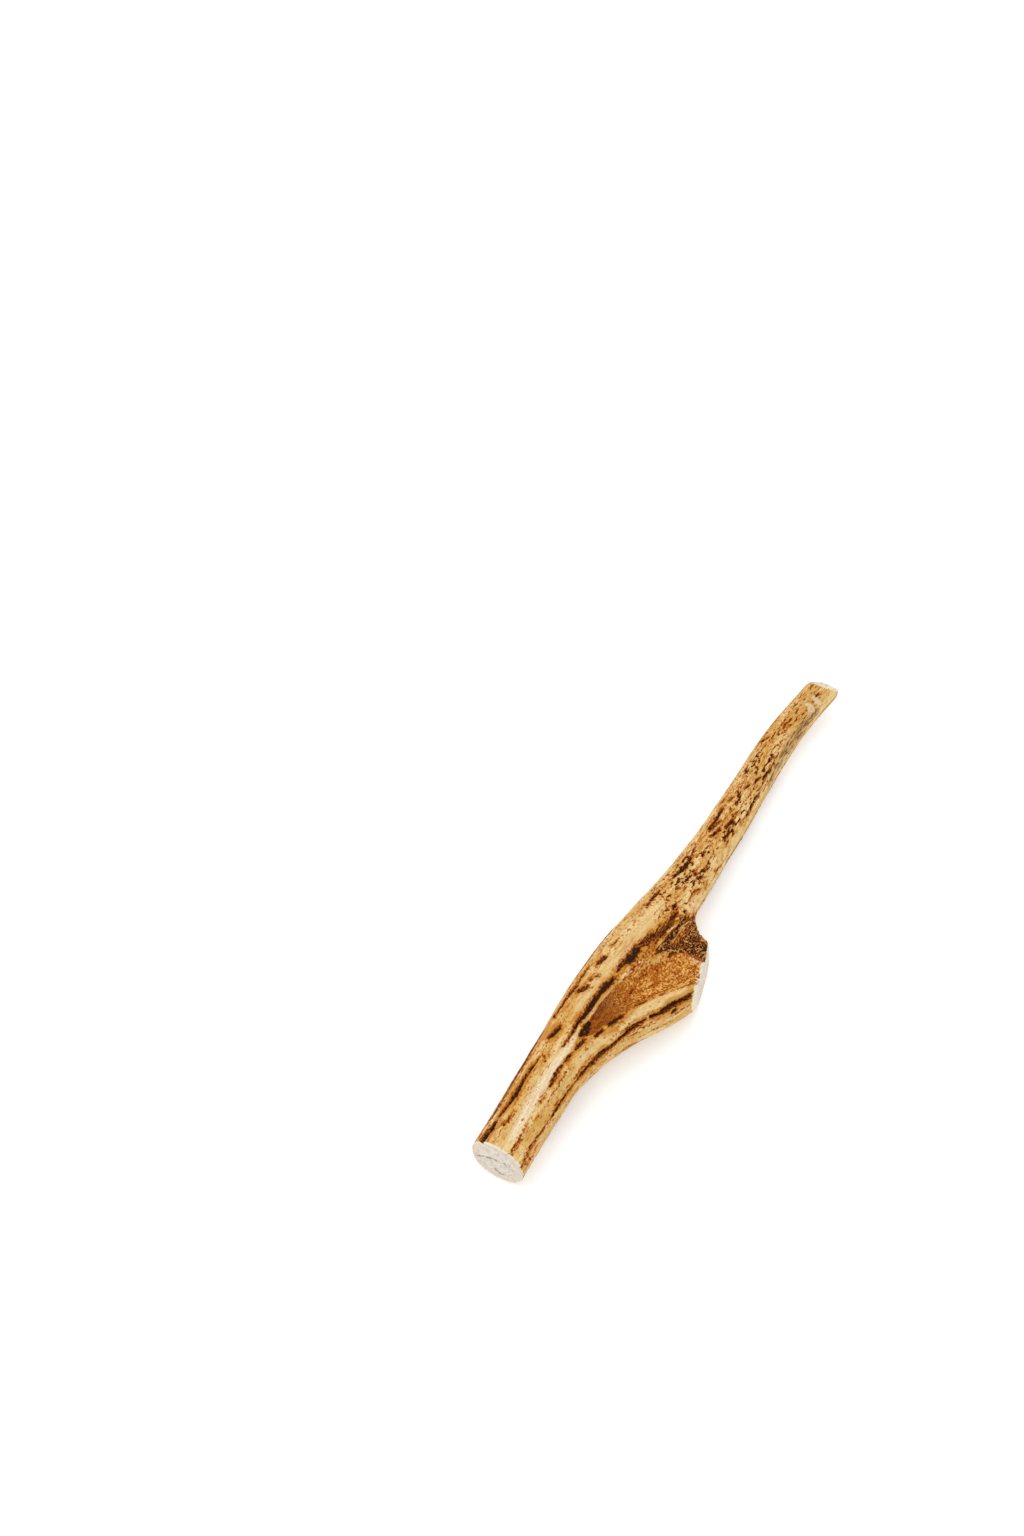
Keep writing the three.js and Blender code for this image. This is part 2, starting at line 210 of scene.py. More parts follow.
def rings():
    """The antler's skin as rings of points, one ring for each step along X."""
    places = [np.arange(start, end, step) for start, end, step in RING_STEPS]
    places = np.concatenate(places)
    x = np.repeat(places[:, None], AROUND, axis=1)
    centre = along(BEAM_AND_TINE, places)
    lookout = along(LOOKOUTS, places)
    angle = np.linspace(0, 2 * math.pi, AROUND, endpoint=False)[None]
    across = lookout[:, 2:3] * np.cos(angle)
    up = np.repeat(np.sin(angle), len(places), axis=0)
    length = np.hypot(across, up)
    across, up = across / length, up / length
    start_y = (centre[:, 0] + lookout[:, 0])[:, None]
    start_z = (centre[:, 1] + lookout[:, 1])[:, None]
    far = np.full(x.shape, RAY_REACH)
    found = np.zeros(x.shape, bool)
    for reach in np.arange(RAY_STEP, RAY_REACH, RAY_STEP):
        outside = antler(x, start_y + reach * across, start_z + reach * up) > 0
        far = np.where(outside & ~found, reach, far)
        found |= outside
        if found.all():
            break
    near = far - RAY_STEP
    for _ in range(RAY_HALVINGS):
        middle = (near + far) / 2
        outside = antler(x, start_y + middle * across, start_z + middle * up) > 0
        far = np.where(outside, middle, far)
        near = np.where(outside, near, middle)
    reach = (near + far) / 2
    return np.stack([x, start_y + reach * across, start_z + reach * up], axis=-1)


grown = rings()
ring_count = len(grown)
points = grown.reshape(-1, 3)
skin_mesh = bpy.data.meshes.new("antler")
ring_start = np.arange(ring_count - 1)[:, None] * AROUND
here = np.arange(AROUND)[None]
following = (here + 1) % AROUND
quads = np.stack(
    [ring_start + here, ring_start + following, ring_start + AROUND + following, ring_start + AROUND + here],
    axis=-1,
).reshape(-1, 4)
skin_mesh.from_pydata(((points - BOX_MIDDLE) * MM).tolist(), [], quads.tolist())
antler_piece = bpy.data.objects.new("antler", skin_mesh)
bpy.context.scene.collection.objects.link(antler_piece)


# ---------------------------------------------------------------- the marks in its bark
# Antler is scored lengthwise by the vessels that fed it, and old blood stays brown in every groove
# and pit. These attributes say, for each point of the skin, which way the bone grew there and how
# near it is to each mark.

# Each mark: how dark, how deep in mm, and its points as x, y, z and half width.
MARKS = [
    # two long grooves on the beam's upper left, then the pale ridge's own broken line
    (1.0, 0.8, [(-108, 6.3, 16.2, 1.2), (-101, 5.7, 16.6, 1.1), (-97, 5.9, 16.7, 0.5)]),
    (1.0, 0.8, [
        (-95.5, 5.9, 16.8, 0.6), (-92.5, 5.7, 16.9, 0.7), (-87.2, 5.5, 17.3, 1.2), (-82, 5.8, 17.5, 0.8),
    ]),
    (1.0, 0.6, [(-82, 5.8, 17.5, 0.8), (-77.9, 5.9, 17.8, 0.6), (-72.4, 5.4, 18.7, 0.3)]),
    (0.5, 0.2, [(-98, 2.8, 17.7, 0.9), (-95.2, 2.2, 17.9, 0.7), (-92.3, 2.2, 18, 0.4)]),
    (0.4, 0.1, [
        (-107, -4.1, 17.1, 0.5), (-103, -3.9, 17.1, 0.6), (-97.4, -3.3, 17.3, 0.5), (-94, -2.9, 17.4, 0.3),
    ]),
    (0.6, 0.2, [(-90.4, -4.4, 16.8, 0.6), (-89.2, -4.6, 16.6, 0.6)]),
    (0.6, 0.2, [(-85.4, -2.7, 17.7, 0.5), (-83.4, -3.2, 17.6, 0.5)]),
    (0.85, 0.5, [
        (-79, -2.5, 18.1, 0.5), (-77, -2.3, 18.3, 0.8), (-74.2, -2.0, 18.7, 0.9), (-71.8, -2.2, 18.9, 0.5),
    ]),
    (0.9, 0.5, [(-69.9, -2.4, 19.1, 0.7), (-67, -2.8, 19.3, 0.5)]),
    (0.9, 0.5, [(-65, -3.0, 19.5, 0.5), (-63.1, -3.3, 19.6, 0.8), (-60.4, -3.8, 19.5, 0.6)]),
    # the long dark line down the right side and out along the branch
    (0.6, 0.5, [
        (-106, -8.2, 12.7, 0.7), (-99, -7.4, 14.0, 0.8), (-94, -7.3, 13.6, 0.7), (-87, -7.3, 13.6, 0.4),
    ]),
    (0.8, 0.6, [
        (-86, -7.3, 13.6, 0.4), (-80.2, -7.3, 13.8, 0.6), (-74.7, -7.4, 13.8, 0.7), (-72, -7.6, 14, 0.4),
    ]),
    (0.85, 0.6, [
        (-70.5, -7.8, 14.2, 0.6), (-67.7, -8.1, 14.5, 0.8), (-60.6, -9.4, 15.6, 0.9), (-56, -11, 15.4, 0.7),
    ]),
    (0.85, 0.6, [
        (-55.4, -11.2, 15.4, 0.8), (-51.5, -12.3, 15.9, 0.5), (-46.9, -13.7, 16.3, 0.9),
        (-43, -15.4, 16, 0.6),
    ]),
    (0.95, 0.7, [
        (-41, -16.3, 15.9, 0.8), (-38.3, -18.1, 15.3, 0.8), (-34.2, -19.6, 15.3, 1.1),
        (-30.5, -21.2, 14.8, 0.9),
    ]),
    (0.95, 0.7, [(-29.5, -21.6, 14.6, 0.9), (-26.2, -22.9, 13.9, 0.9)]),
    (0.8, 0.4, [(-34.6, -21.0, 13.4, 0.8), (-32.9, -20.8, 14.4, 0.6)]),
    # the dark groove beside the hollow, up to the fork
    (1.0, 0.6, [
        (-66, 0.6, 20, 0.3), (-61.2, 0.5, 20.5, 0.4), (-57, 1.0, 20.8, 0.7), (-51.2, 0.2, 21.3, 1.1),
    ]),
    (1.0, 0.9, [(-51.2, 0.2, 21.3, 1.1), (-46.9, 0.3, 21.5, 1.1), (-45.5, 0.1, 21.6, 0.7)]),
    (1.0, 0.9, [
        (-44.3, 0.2, 21.6, 0.9), (-42.3, -0.1, 21.6, 1.3), (-39.1, -0.7, 21.6, 1.0), (-37, -0.5, 21.5, 0.5),
    ]),
    (1.0, 0.8, [
        (-35, -0.4, 21.4, 0.4), (-32.2, -0.3, 21.2, 0.8), (-28.7, -1.2, 20.9, 1.7), (-23.9, -1.5, 20.6, 1.6),
    ]),
    (0.85, 0.5, [(-23.9, -1.5, 20.6, 1.3), (-20.5, -1.8, 20.2, 1.1), (-16, -2.7, 19.4, 0.9)]),
    (1.0, 0.5, [(-59.6, -2.3, 20.1, 0.9), (-57.6, -2.6, 19.9, 1.3), (-55, -2.6, 19.9, 0.9)]),
    (0.95, 0.4, [(-57.4, -5.8, 19.4, 0.7), (-55.2, -6.6, 19.4, 0.9)]),
    (1.0, 0.5, [(-51.4, -7.6, 19.6, 1.3), (-47.6, -9.0, 19.5, 1.2)]),
    (0.7, 0.3, [(-46.2, -9.3, 19.2, 0.7), (-41, -10.8, 18, 0.8), (-37, -12.2, 17.2, 0.5)]),
    (0.75, 0.2, [
        (-15.8, -20.2, 12.9, 0.6), (-18.2, -20.6, 13.3, 0.9), (-21.5, -21.0, 14.4, 0.7),
        (-25.4, -20.6, 15.4, 0.4),
    ]),
    # clusters on the beam's left shoulder
    (1.0, 0.4, [(-64.4, 6.1, 19.1, 1.1), (-61, 5.3, 19.6, 1.0)]),
    (0.6, 0.2, [(-73.4, 2.9, 19.2, 0.5), (-71.5, 4.5, 19.1, 0.6)]),
    (0.9, 0.3, [(-46.4, 6.6, 20.1, 1.1), (-44.4, 4.9, 20.9, 1.4)]),
    (0.75, 0.3, [(-41, 5.0, 20.8, 1.0), (-39, 3.9, 21.1, 0.8)]),
    (0.8, 0.3, [(-34.6, 6.6, 20.3, 0.9), (-31.8, 5.2, 20.8, 0.9)]),
    (0.7, 0.3, [(-26.4, 5.9, 20.4, 0.6), (-24.6, 5.6, 20.4, 0.6)]),
    (0.85, 0.4, [
        (-57, 9.3, 17.3, 0.8), (-50, 9.2, 18.1, 0.9), (-45.2, 8.7, 19, 0.8), (-36.7, 9.0, 18.8, 0.5),
    ]),
    (0.6, 0.2, [(-88, 9.2, 14.5, 0.7), (-74, 9.2, 15, 0.8), (-60, 9.6, 16, 0.8)]),
    (0.6, 0.2, [(-31, -4.2, 20.0, 1.0), (-25.5, -4.8, 19.5, 1.7), (-20.5, -5.6, 18.9, 1.7)]),
    # the scar in the crotch: three streaks that run together at the lip
    (0.8, 0.6, [
        (-2.1, -3.1, 17.9, 0.9), (-3.9, -4.3, 17.5, 1.1), (-8.9, -4.5, 17.9, 1.3), (-15, -3.7, 18.7, 1.3),
    ]),
    (0.8, 0.5, [(-15, -3.7, 18.7, 1.3), (-20.5, -3.7, 19.4, 0.9)]),
    (0.8, 0.6, [
        (-1, -6.5, 15.9, 0.6), (-6.1, -7.6, 16.8, 0.9), (-11.4, -8.0, 17.3, 1.1), (-15, -7.4, 17.5, 1.1),
    ]),
    (0.8, 0.6, [(-20.4, -6.6, 18.1, 1.2), (-17.4, -7.5, 17.6, 1.2)]),
    (0.8, 0.6, [
        (3.7, -7.6, 10, 0.8), (-0.5, -9.4, 13.8, 1.1), (-4.2, -11.1, 15.4, 1.4), (-9.5, -12.1, 17.3, 1.4),
    ]),
    (0.7, 0.5, [(-9.5, -12.1, 17.3, 1.4), (-13.6, -11.7, 17.4, 1.2), (-18.5, -10.6, 17, 0.8)]),
    (0.8, 0.6, [
        (-2.2, -11.6, 13, 2.0), (-5.5, -13.6, 15.8, 2.2), (-10, -14.4, 17.1, 1.9), (-13.7, -13.9, 16.8, 1.2),
    ]),
    (0.8, 0.6, [
        (-3.6, -13.8, 11, 2.6), (-6.8, -16.6, 14, 2.2), (-9.6, -17.4, 15.3, 1.7), (-11.5, -19.8, 13.6, 1.2),
    ]),
    (0.8, 0.3, [
        (-16.5, -9.5, 17.2, 0.9), (-13.2, -14, 17, 1.5), (-10.9, -17.6, 14.8, 1.6), (-9.6, -19.6, 13.2, 1.4),
    ]),
    (0.55, 0.3, [(-1.5, -11.0, 7, 2.4), (-4.5, -15.0, 6.5, 2.4), (-9, -19.5, 8, 2.2)]),
    # clusters of pits up the tine
    (1.0, 0.4, [(18.1, 2.3, 15.8, 0.58), (12.7, 2.2, 16.5, 0.79), (8.9, 3.0, 16.9, 0.58)]),
    (0.7, 0.3, [(24.4, 3.9, 14.6, 0.36), (19.7, 2.7, 15.5, 0.5)]),
    (0.9, 0.3, [(23, -0.1, 15.4, 0.5), (21.2, -0.5, 15.6, 0.5)]),
    (1.0, 0.3, [(13.8, -1.2, 16.4, 0.5), (12.5, -3.8, 15.7, 0.65)]),
    (0.9, 0.3, [(19.4, -4.8, 14.1, 0.58), (15.9, -3.4, 15.4, 0.58)]),
    (0.8, 0.3, [(23, -6.4, 11.3, 0.43), (19.3, -6.2, 12.5, 0.5)]),
    (0.9, 0.3, [(14.5, -6.4, 13, 0.58), (12.7, -6.6, 12.9, 0.58)]),
    (0.9, 0.3, [(9.8, -5.8, 14.7, 0.65), (5.6, -5.1, 15.9, 0.5)]),
    (0.6, 0.2, [(0.7, 4.4, 17.7, 0.58), (-7.9, 4.3, 18.9, 0.5)]),
    (0.9, 0.4, [(35.2, -2.8, 13.5, 0.58), (31.1, -3.4, 13.7, 0.65)]),
    (0.9, 0.3, [(37, 1.7, 14, 0.58), (31.5, 2.6, 14.5, 0.58)]),
    (0.9, 0.3, [(34, 0.1, 14.4, 0.72), (29.9, 1.0, 14.8, 0.58)]),
    (0.8, 0.3, [(36.6, -2.8, 13.3, 0.5), (36, -4.0, 12.6, 0.5)]),
    (1.0, 0.4, [(42.2, 3.8, 13.3, 0.65), (37, 3.4, 13.8, 0.79), (32.9, 3.1, 14.2, 0.65)]),
    (0.8, 0.3, [(48.2, 3.0, 13.1, 0.5), (46.7, 3.5, 13.1, 0.58)]),
    (0.7, 0.3, [(46.5, 5.4, 12.2, 0.43), (44.9, 5.5, 12.2, 0.43)]),
    (0.9, 0.3, [(55.8, 0.7, 12.7, 0.5), (54.3, 1.1, 12.8, 0.5)]),
    (0.7, 0.3, [(61.8, 5.2, 11.7, 0.43), (59.5, 4.6, 12, 0.5)]),
    (1.0, 0.4, [(76.9, 5.3, 11.6, 0.5), (75.4, 6.3, 11, 0.58)]),
    (0.8, 0.3, [(70.2, 4.6, 11.8, 0.43), (68.5, 4.9, 11.8, 0.5)]),
    (0.9, 0.3, [(71.3, 0.2, 11.9, 0.43), (68.3, -0.6, 11.7, 0.58)]),
    (0.9, 0.3, [(63.9, -1.6, 11.3, 0.58), (61, -1.6, 11.5, 0.58)]),
    (0.8, 0.3, [(60.3, -0.6, 12.1, 0.5), (57.8, -0.2, 12.3, 0.5)]),
    (0.85, 0.5, [(54, -3.1, 11, 0.43), (46.7, -4.2, 10.9, 0.65), (40.5, -4.5, 11.3, 0.5)]),
    (0.9, 0.3, [(39.9, -1.5, 13.6, 0.65), (36.1, -1.3, 14, 0.65)]),
    (0.8, 0.3, [(42.9, -1.2, 13.4, 0.43), (41.6, -1.0, 13.5, 0.43)]),
    (0.8, 0.3, [(51.5, 2.6, 12.9, 0.43), (49.5, 0.6, 13.1, 0.5)]),
    (0.75, 0.3, [(87.5, 1.6, 12.8, 0.36), (83.6, 2.4, 12.5, 0.58)]),
    (0.8, 0.2, [(91.6, 1.6, 13.2, 0.36), (90, 1.3, 13.1, 0.43)]),
    (0.7, 0.2, [(102.3, 1.9, 14.3, 0.36), (101, 1.9, 14.2, 0.36)]),
    (0.5, 0.1, [(100.4, -2.3, 13.8, 0.43), (98.9, -1.0, 14, 0.43)]),
]
# Grooves on the flanks and underneath: angle from the +Y side over the top, from x, to x, depth.
FURROWS = [
    [32, -100, -62, 0.4],
    [10, -107, -48, 0.5],
    [-14, -96, -8, 0.5],
    [-42, -107, -40, 0.5],
    [-68, -84, 12, 0.4],
    [-90, -107, -82, 0.5],
    [-112, -107, -58, 0.5],
    [-136, -92, -50, 0.4],
    [-160, -107, -66, 0.5],
    [24, -40, 22, 0.4],
    [-8, 8, 74, 0.35],
    [-50, 18, 92, 0.35],
    [-90, 42, 86, 0.3],
    [-128, 14, 70, 0.35],
    [-172, 22, 84, 0.35],
]
FURROW_HALF_WIDTH = 0.9
# Paths of points as x, y, z and half width, for all that handling and sun have changed.
# The polished ridges are also painted paler: partly the worn bone's own tone, partly painted sheen.
POLISHED_RIDGES = [
    [(-107, -1.8, 17.8, 1.3), (-91, -0.7, 18, 1.5), (-75, -0.3, 19, 1.3), (-58, -0.9, 20.7, 0.7)],
    [
        (-52, 3.6, 21, 1.2), (-33.4, 2.8, 21.2, 1.9), (-23.3, 1.8, 20.9, 2.1), (-12, 0.8, 19.9, 1.7),
        (-3, 0.6, 18.6, 1.0),
    ],
    [(-55.7, -1.0, 20.8, 0.5), (-45.2, -1.7, 21.2, 0.6), (-36.8, -3.7, 19.7, 0.7), (-28, -6.2, 18.1, 0.7)],
    [(-50, -11.4, 18.2, 0.8), (-41, -13.4, 18.2, 1.1), (-34, -16.4, 17.4, 1.3), (-27, -20.4, 15.9, 1.0)],
    [(-68, -5.2, 17.9, 1.2), (-58, -7.8, 18.4, 1.2)],
]
# Along this ridge the pale streak is partly sun-bleached bone and partly painted sheen.
BLEACH_AND_SHEEN_RIDGE = [
    (-101, -1.8, 17.8, 0.8), (-92, -0.9, 18, 1.6), (-84, -0.4, 18.3, 1.9), (-74, -0.3, 19, 1.5),
    (-61, -0.8, 20.5, 0.7),
]
BLEACHED_LIP = [(-14.2, -15.4, 14.6, 0.9), (-12.8, -18.6, 13.2, 1.3)]
RUBBED_SIDE = [
    (96.5, -4.0, 10.8, 0.7), (90.5, -3.2, 10.3, 1.5), (85, -2.9, 9.6, 1.8), (79, -2.3, 9.8, 1.7),
    (71, -2.7, 9.4, 1.3), (62, -3.2, 8.6, 0.9),
]
CHIPS = [
    [(98.6, -0.4, 14.0, 0.7), (98.0, -2.4, 13.1, 1.2), (98.2, -4.1, 12.0, 0.6)],
    [(95.0, 0.0, 13.5, 0.7), (94.4, -2.2, 12.9, 1.4), (94.8, -4.0, 11.7, 0.7)],
]
SCARRED_CROTCH = [(-17, -7, 18, 2.5), (-8, -10, 17, 5.0), (-3, -12, 12, 5.5), (-6, -16, 7, 5.0)]
SCARRED_LIP = [(-15.5, -9.5, 17.4, 2.6), (-12.5, -14.2, 17.0, 3.0), (-10.6, -18.0, 14.4, 3.0)]
STAIN_REACH = 1.8  # how far old stain spreads from a mark, in half widths of it
TINGE_REACH = 4.5  # how far its fainter orange tinge spreads
GROOVE_REACH = 1.5  # how far its groove spreads
FURROW_STAIN = 0.75
CUTS = {"beam": BEAM_CUT, "tine": TINE_CUT, "branch": BRANCH_CUT}
WORN_EDGES = {"beam": 0.5, "tine": 3.2, "branch": 0.8}  # rounding of each sawn edge, mm
BARED_WIDTHS = {"beam": 0.35, "tine": 0.9, "branch": 0.6}  # pale bone laid bare beside each cut, mm
PATTERN_RADIUS = 9  # mm; grain is drawn as if on a rod this thick, so it narrows along with the tine

x, y, z = points.T
centre_y, centre_z, half_width, half_height = along(BEAM_AND_TINE, x).T
place, side = on_line(BRANCH_LINE, x, y)
branch_at = along(BRANCH, place).T


def fade(value, none, full):
    """0 at none and 1 at full, with a smooth step between."""
    t = np.clip((value - none) / (full - none), 0, 1)
    return t * t * (3 - 2 * t)


def nearness(path):
    """Distance of every point of the skin to a path, in half widths of the path."""
    ends = np.array(path, float)
    best = np.full(len(points), 99.0)
    for a, b in zip(ends[:-1], ends[1:]):
        run = b[:3] - a[:3]
        share = np.clip((points - a[:3]) @ run / (run @ run), 0, 1)
        away = np.linalg.norm(points - (a[:3] + share[:, None] * run), axis=1)
        best = np.minimum(best, away / (a[3] + share * (b[3] - a[3])))
    return best


def keep(name, values, kind="FLOAT"):
    """Stores one value for each point of the skin."""
    attribute = skin_mesh.attributes.new(name, kind, "POINT")
    field = "vector" if kind == "FLOAT_VECTOR" else "value"
    attribute.data.foreach_set(field, np.ravel(values).astype(np.float32))


stain = np.zeros(len(points))
tinge = np.zeros(len(points))
groove = np.zeros(len(points))
for dark, depth, path in MARKS:
    near = nearness(path)
    stain = np.maximum(stain, dark * fade(near, STAIN_REACH, 0.25))
    tinge = np.maximum(tinge, dark * fade(near, TINGE_REACH, 0.8))
    groove = np.maximum(groove, depth * fade(near, GROOVE_REACH, 0.4))
angle = np.degrees(np.arctan2(z - centre_z, y - centre_y))
for middle, start, end, depth in FURROWS:
    arc = np.radians((angle - middle + 180) % 360 - 180) * half_width
    ends = fade(x, start, start + 6) * (1 - fade(x, end - 10, end)) * fade(y, -10.5, -8.5)
    furrow = np.exp(-((arc / FURROW_HALF_WIDTH) ** 2)) * ends
    stain = np.maximum(stain, FURROW_STAIN * furrow)
    groove = np.maximum(groove, depth * furrow)
polished = np.max([fade(nearness(path), 1.9, 0.2) for path in POLISHED_RIDGES], axis=0)
chipped = np.max([fade(nearness(path), 1.3, 0.6) for path in CHIPS], axis=0)
lower_flank = fade(angle, 66, 44) * fade(angle, -20, 0)
on_tine = fade(x, -20, 6) * (1 - 0.5 * fade(x, 60, 90))
pitted = on_tine * fade(angle, 176, 120) * (1 - 0.9 * lower_flank)
stain *= 1 - 0.15 * pitted
tinge *= 1 - 0.5 * pitted
hollow_gap = turned_tube(TOP_HOLLOW, TOP_HOLLOW_LINE, x, y, z)
up_hollow = on_line(TOP_HOLLOW_LINE, x, y)[0]
in_hollow = fade(hollow_gap, 1.0, 0.2) * fade(z, 10, 12.5)
top = fade(angle, 150, 100) * fade(angle, 20, 60)
worn_edge = np.zeros(len(points))
bared = np.zeros(len(points))
for name, (at, faces) in CUTS.items():
    radius = WORN_EDGES[name]
    short = np.clip(radius + beyond((at, faces), x, y, z), 0, radius)
    inward = radius - np.sqrt(radius**2 - short**2)
    on_this_end = x < BRANCH_ENDS_AT if name != "tine" else x > 0
    worn_edge = np.maximum(worn_edge, np.where(on_this_end, inward, 0))
    from_cut = -beyond((at, faces), x, y, z)
    bared_here = fade(from_cut, BARED_WIDTHS[name] * 2, 0)
    if name == "branch":
        bared_here = bared_here * fade(x, -10, -14)
    bared = np.maximum(bared, np.where(on_this_end, bared_here, 0))

across_beam = (y - centre_y) / half_width * PATTERN_RADIUS
up_beam = (z - centre_z) / half_height * PATTERN_RADIUS
keep("beam_flow", np.stack([x, across_beam, up_beam], 1), "FLOAT_VECTOR")
keep("branch_flow", np.stack([place, side - branch_at[0], z - branch_at[1]], 1), "FLOAT_VECTOR")
keep("branch_share", fade(side - (branch_at[0] + 3), 5, -3) * fade(place, 4, 16) * fade(x, 1, -6))
keep("stain", stain)
keep("tinge", tinge)
keep("groove", groove)
keep("polished", polished * (1 - in_hollow))
on_ridge = fade(nearness(BLEACH_AND_SHEEN_RIDGE), 1.5, 0.2)
keep("bleach_and_sheen", np.maximum(on_ridge, fade(nearness(BLEACHED_LIP), 1.4, 0.5)))
keep("hollow", in_hollow)
keep("hollow_depths", fade(up_hollow, 28, 9))
in_crotch = fade(nearness(SCARRED_CROTCH), 1.4, 0.5)
keep("crotch", np.maximum(in_crotch, fade(nearness(SCARRED_LIP), 1.4, 0.6)))
keep("rubbed", fade(nearness(RUBBED_SIDE), 1.7, 0.5))
keep("chipped", chipped)
keep("pitted", pitted)
keep("flank", 1 - top)
keep("fair", fade(x, -40, -5) * fade(angle, 112, 140))
keep("worn_edge", worn_edge)
keep("bared", bared)


# ---------------------------------------------------------------- relief of the bark
# The bone is dug out wherever it is stained dark, so grooves, furrows and pits all have ragged edges.
# Geometry nodes do it from the attributes and from noise that is stretched along the bone.


def add(tree, kind, **settings):
    """Puts a node in a tree."""
    node = tree.nodes.new(kind)
    for name, value in settings.items():
        setattr(node, name, value)
    return node


def feed(tree, socket, value):
    """Gives a socket a number, or links it to another node."""
    if isinstance(value, bpy.types.NodeSocket):
        tree.links.new(value, socket)
    else:
        socket.default_value = value


def sums(tree, operation, *values):
    """One step of arithmetic in a tree."""
    node = add(tree, "ShaderNodeMath", operation=operation)
    for socket, value in zip(node.inputs, values):
        feed(tree, socket, value)
    return node.outputs[0]


def ramp(tree, value, low, high, to_low=0.0, to_high=1.0):
    """A smooth step from to_low at low to to_high at high."""
    node = add(tree, "ShaderNodeMapRange", interpolation_type="SMOOTHSTEP")
    settings = {"Value": value, "From Min": low, "From Max": high, "To Min": to_low, "To Max": to_high}
    for name, setting in settings.items():
        feed(tree, node.inputs[name], setting)
    return node.outputs["Result"]


def noise(tree, vector, size, detail=2.0, rough=0.5, offset=0.0):
    """Noise whose lumps are size long and wide in mm, where vector measures mm along and across."""
    scale = add(tree, "ShaderNodeVectorMath", operation="MULTIPLY_ADD")
    feed(tree, scale.inputs[0], vector)
    feed(tree, scale.inputs[1], (1 / size[0], 1 / size[1], 1 / size[1]))
    feed(tree, scale.inputs[2], (offset, offset, offset))
    node = add(tree, "ShaderNodeTexNoise", noise_dimensions="3D")
    feed(tree, node.inputs["Vector"], scale.outputs[0])
    feed(tree, node.inputs["Scale"], 1.0)
    feed(tree, node.inputs["Detail"], detail)
    feed(tree, node.inputs["Roughness"], rough)
    return node.outputs[0]


def grown_noise(tree, flows, size, detail=2.0, rough=0.5, offset=0.0):
    """Noise that follows the beam on the beam and the branch on the branch."""
    beam_flow, branch_flow, branch_share = flows
    node = add(tree, "ShaderNodeMix", data_type="FLOAT")
    feed(tree, node.inputs[0], branch_share)
    feed(tree, node.inputs[2], noise(tree, beam_flow, size, detail, rough, offset))
    feed(tree, node.inputs[3], noise(tree, branch_flow, size, detail, rough, offset + 7.3))
    return node.outputs[0]


# Each noise in the bone: length and width of its lumps in mm, detail, roughness and offset.
FLECKS = ((0.95, 0.6), 3.0, 0.6, 2.0)
LANES = ((16.0, 1.5), 2.0, 0.5, 11.0)
CLUSTERS = ((8.0, 3.6), 2.0, 0.5, 5.0)
PITS = ((1.9, 1.25), 2.0, 0.55, 91.0)
SLIVERS = ((6.0, 0.9), 2.0, 0.5, 83.0)
RIPPLES = ((24.0, 2.4), 3.0, 0.5, 17.0)
GRANULES = ((0.6, 0.5), 2.0, 0.6, 29.0)
FLECK_CONTRAST = 1.7
MARKS_SHOW = 0.46  # how much darker the bone is in a mark than beside it
GROOVES_SHOW = 0.14
STAINED_ORANGE = (0.54, 0.68)  # level of stain where the bone starts and ends turning orange
STAINED_RUST = (0.75, 0.87)
STAINED_DARK = (0.9, 1.02)


def stain_level(tree, flows, attribute):
    """How deeply the bone is stained: flecks everywhere, more of them in the marks, lanes and clusters."""
    flecks = grown_noise(tree, flows, *FLECKS)
    level = sums(tree, "MULTIPLY_ADD", flecks, FLECK_CONTRAST, 0.5 - FLECK_CONTRAST / 2)
    level = sums(tree, "MULTIPLY_ADD", attribute("stain"), MARKS_SHOW, level)
    level = sums(tree, "ADD", level, ramp(tree, attribute("stain"), 0.6, 0.95, 0.0, 0.08))
    level = sums(tree, "MULTIPLY_ADD", attribute("groove"), GROOVES_SHOW, level)
    lanes = ramp(tree, grown_noise(tree, flows, *LANES), 0.44, 0.66, -0.12, 0.16)
    lanes = sums(tree, "MULTIPLY", lanes, sums(tree, "MULTIPLY_ADD", attribute("flank"), 0.5, 0.6))
    level = sums(tree, "ADD", level, lanes)
    clusters = ramp(tree, grown_noise(tree, flows, *CLUSTERS), 0.38, 0.56)
    pits = ramp(tree, grown_noise(tree, flows, *PITS), 0.48, 0.61, -0.04, 0.58)
    pits = sums(tree, "MULTIPLY", clusters, pits)
    level = sums(tree, "MULTIPLY_ADD", pits, attribute("pitted"), level)
    slivers = ramp(tree, grown_noise(tree, flows, *SLIVERS), 0.5, 0.63, 0.5, -0.14)
    level = sums(tree, "MULTIPLY_ADD", attribute("crotch"), slivers, level)
    level = sums(tree, "MULTIPLY_ADD", attribute("hollow"), 0.1, level)
    level = sums(tree, "MULTIPLY_ADD", attribute("fair"), -0.15, level)
    return sums(tree, "MULTIPLY_ADD", attribute("polished"), -0.16, level)


relief = bpy.data.node_groups.new("bark relief", "GeometryNodeTree")
RELIEF_SIZES = {
    "Overall Depth": 0.1,
    "Groove Depth": 1.0,
    "Pit Depth": 0.16,
    "Ripple Height": 0.3,
    "Granule Height": 0.35,
    "Chip Depth": 0.35,
    "Edge Wear": 1.0,
    "Seed": 0.0,
}
relief.interface.new_socket(name="Geometry", in_out="INPUT", socket_type="NodeSocketGeometry")
for name in RELIEF_SIZES:
    relief.interface.new_socket(name=name, in_out="INPUT", socket_type="NodeSocketFloat")
relief.interface.new_socket(name="Bark", in_out="INPUT", socket_type="NodeSocketMaterial")
relief.interface.new_socket(name="Geometry", in_out="OUTPUT", socket_type="NodeSocketGeometry")
given = add(relief, "NodeGroupInput").outputs


def in_relief(name, kind="FLOAT"):
    """One of the skin's attributes, for the relief."""
    node = add(relief, "GeometryNodeInputNamedAttribute", data_type=kind)
    node.inputs["Name"].default_value = name
    return next(s for s in node.outputs if s.name == "Attribute" and s.enabled)


